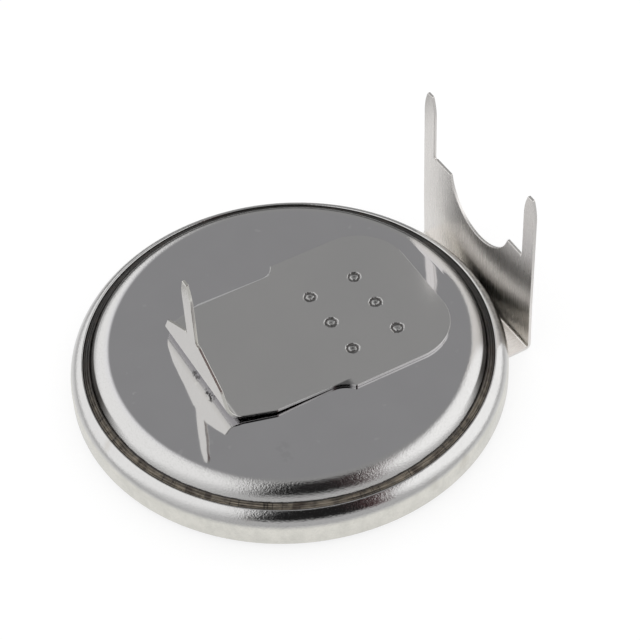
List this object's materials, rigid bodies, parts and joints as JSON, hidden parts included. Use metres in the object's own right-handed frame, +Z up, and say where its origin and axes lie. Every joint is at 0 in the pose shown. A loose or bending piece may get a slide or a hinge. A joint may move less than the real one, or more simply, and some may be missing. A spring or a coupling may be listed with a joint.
{
  "type": "lithium coin cell with solder tabs",
  "caption": "Flat round lithium coin cell with sheet-metal solder tabs welded to its cap and its can, whose upright pins pass through a circuit board.",
  "frame": {"origin": "on the cell's axis, on the underside of the positive tab, which is the plane the part rests on", "axes": "+Z up out of the negative cap and along the pins, +X from the axis towards the positive tab's upright plate"},
  "size_m": [0.0249, 0.0244, 0.0113],
  "materials": {
    "can_steel": "bright satin nickel-plated steel",
    "gasket_plastic": "dark moulded polypropylene",
    "cap_steel": "mirror-polished stainless steel",
    "lithium": "dull soft metal",
    "separator_fibre": "white fibre sheet",
    "cathode_mix": "pressed black powder",
    "ring_steel": "plain stainless steel",
    "tab_steel": "satin plated sheet"
  },
  "bodies": {
    "root": {"positive_can": "can_steel", "gasket": "gasket_plastic", "negative_cap": "cap_steel", "lithium_anode": "lithium", "separator": "separator_fibre", "cathode_pellet": "cathode_mix", "cathode_ring": "ring_steel", "negative_tab": "tab_steel", "positive_tab": "tab_steel"}
  },
  "joints": []
}
